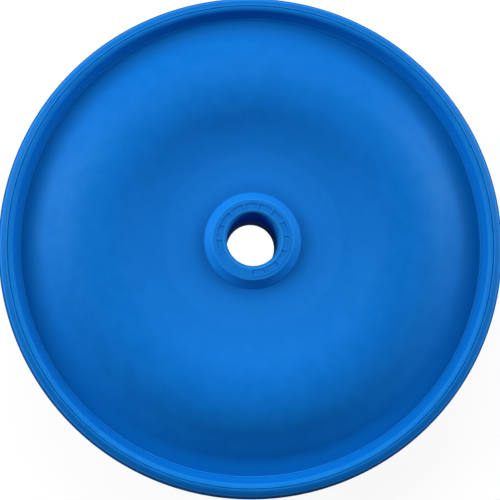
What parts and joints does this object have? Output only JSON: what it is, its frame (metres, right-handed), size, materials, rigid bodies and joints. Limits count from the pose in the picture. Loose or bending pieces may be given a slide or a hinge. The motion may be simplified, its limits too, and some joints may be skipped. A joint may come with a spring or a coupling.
{
  "type": "pump diaphragm",
  "caption": "Round moulded elastomer disc with one raised roll, a clamping bead round its rim and a central bolt sleeve that stands out behind it.",
  "frame": {"origin": "centre of the back end of the bolt sleeve, on the axis", "axes": "+Z along the bore towards the wetted front face, +X and +Y across the disc"},
  "size_m": [0.096, 0.096, 0.0195],
  "materials": {
    "elastomer": "satin moulded polyurethane, saturated blue all through"
  },
  "bodies": {
    "root": {"diaphragm": "elastomer"}
  },
  "joints": []
}
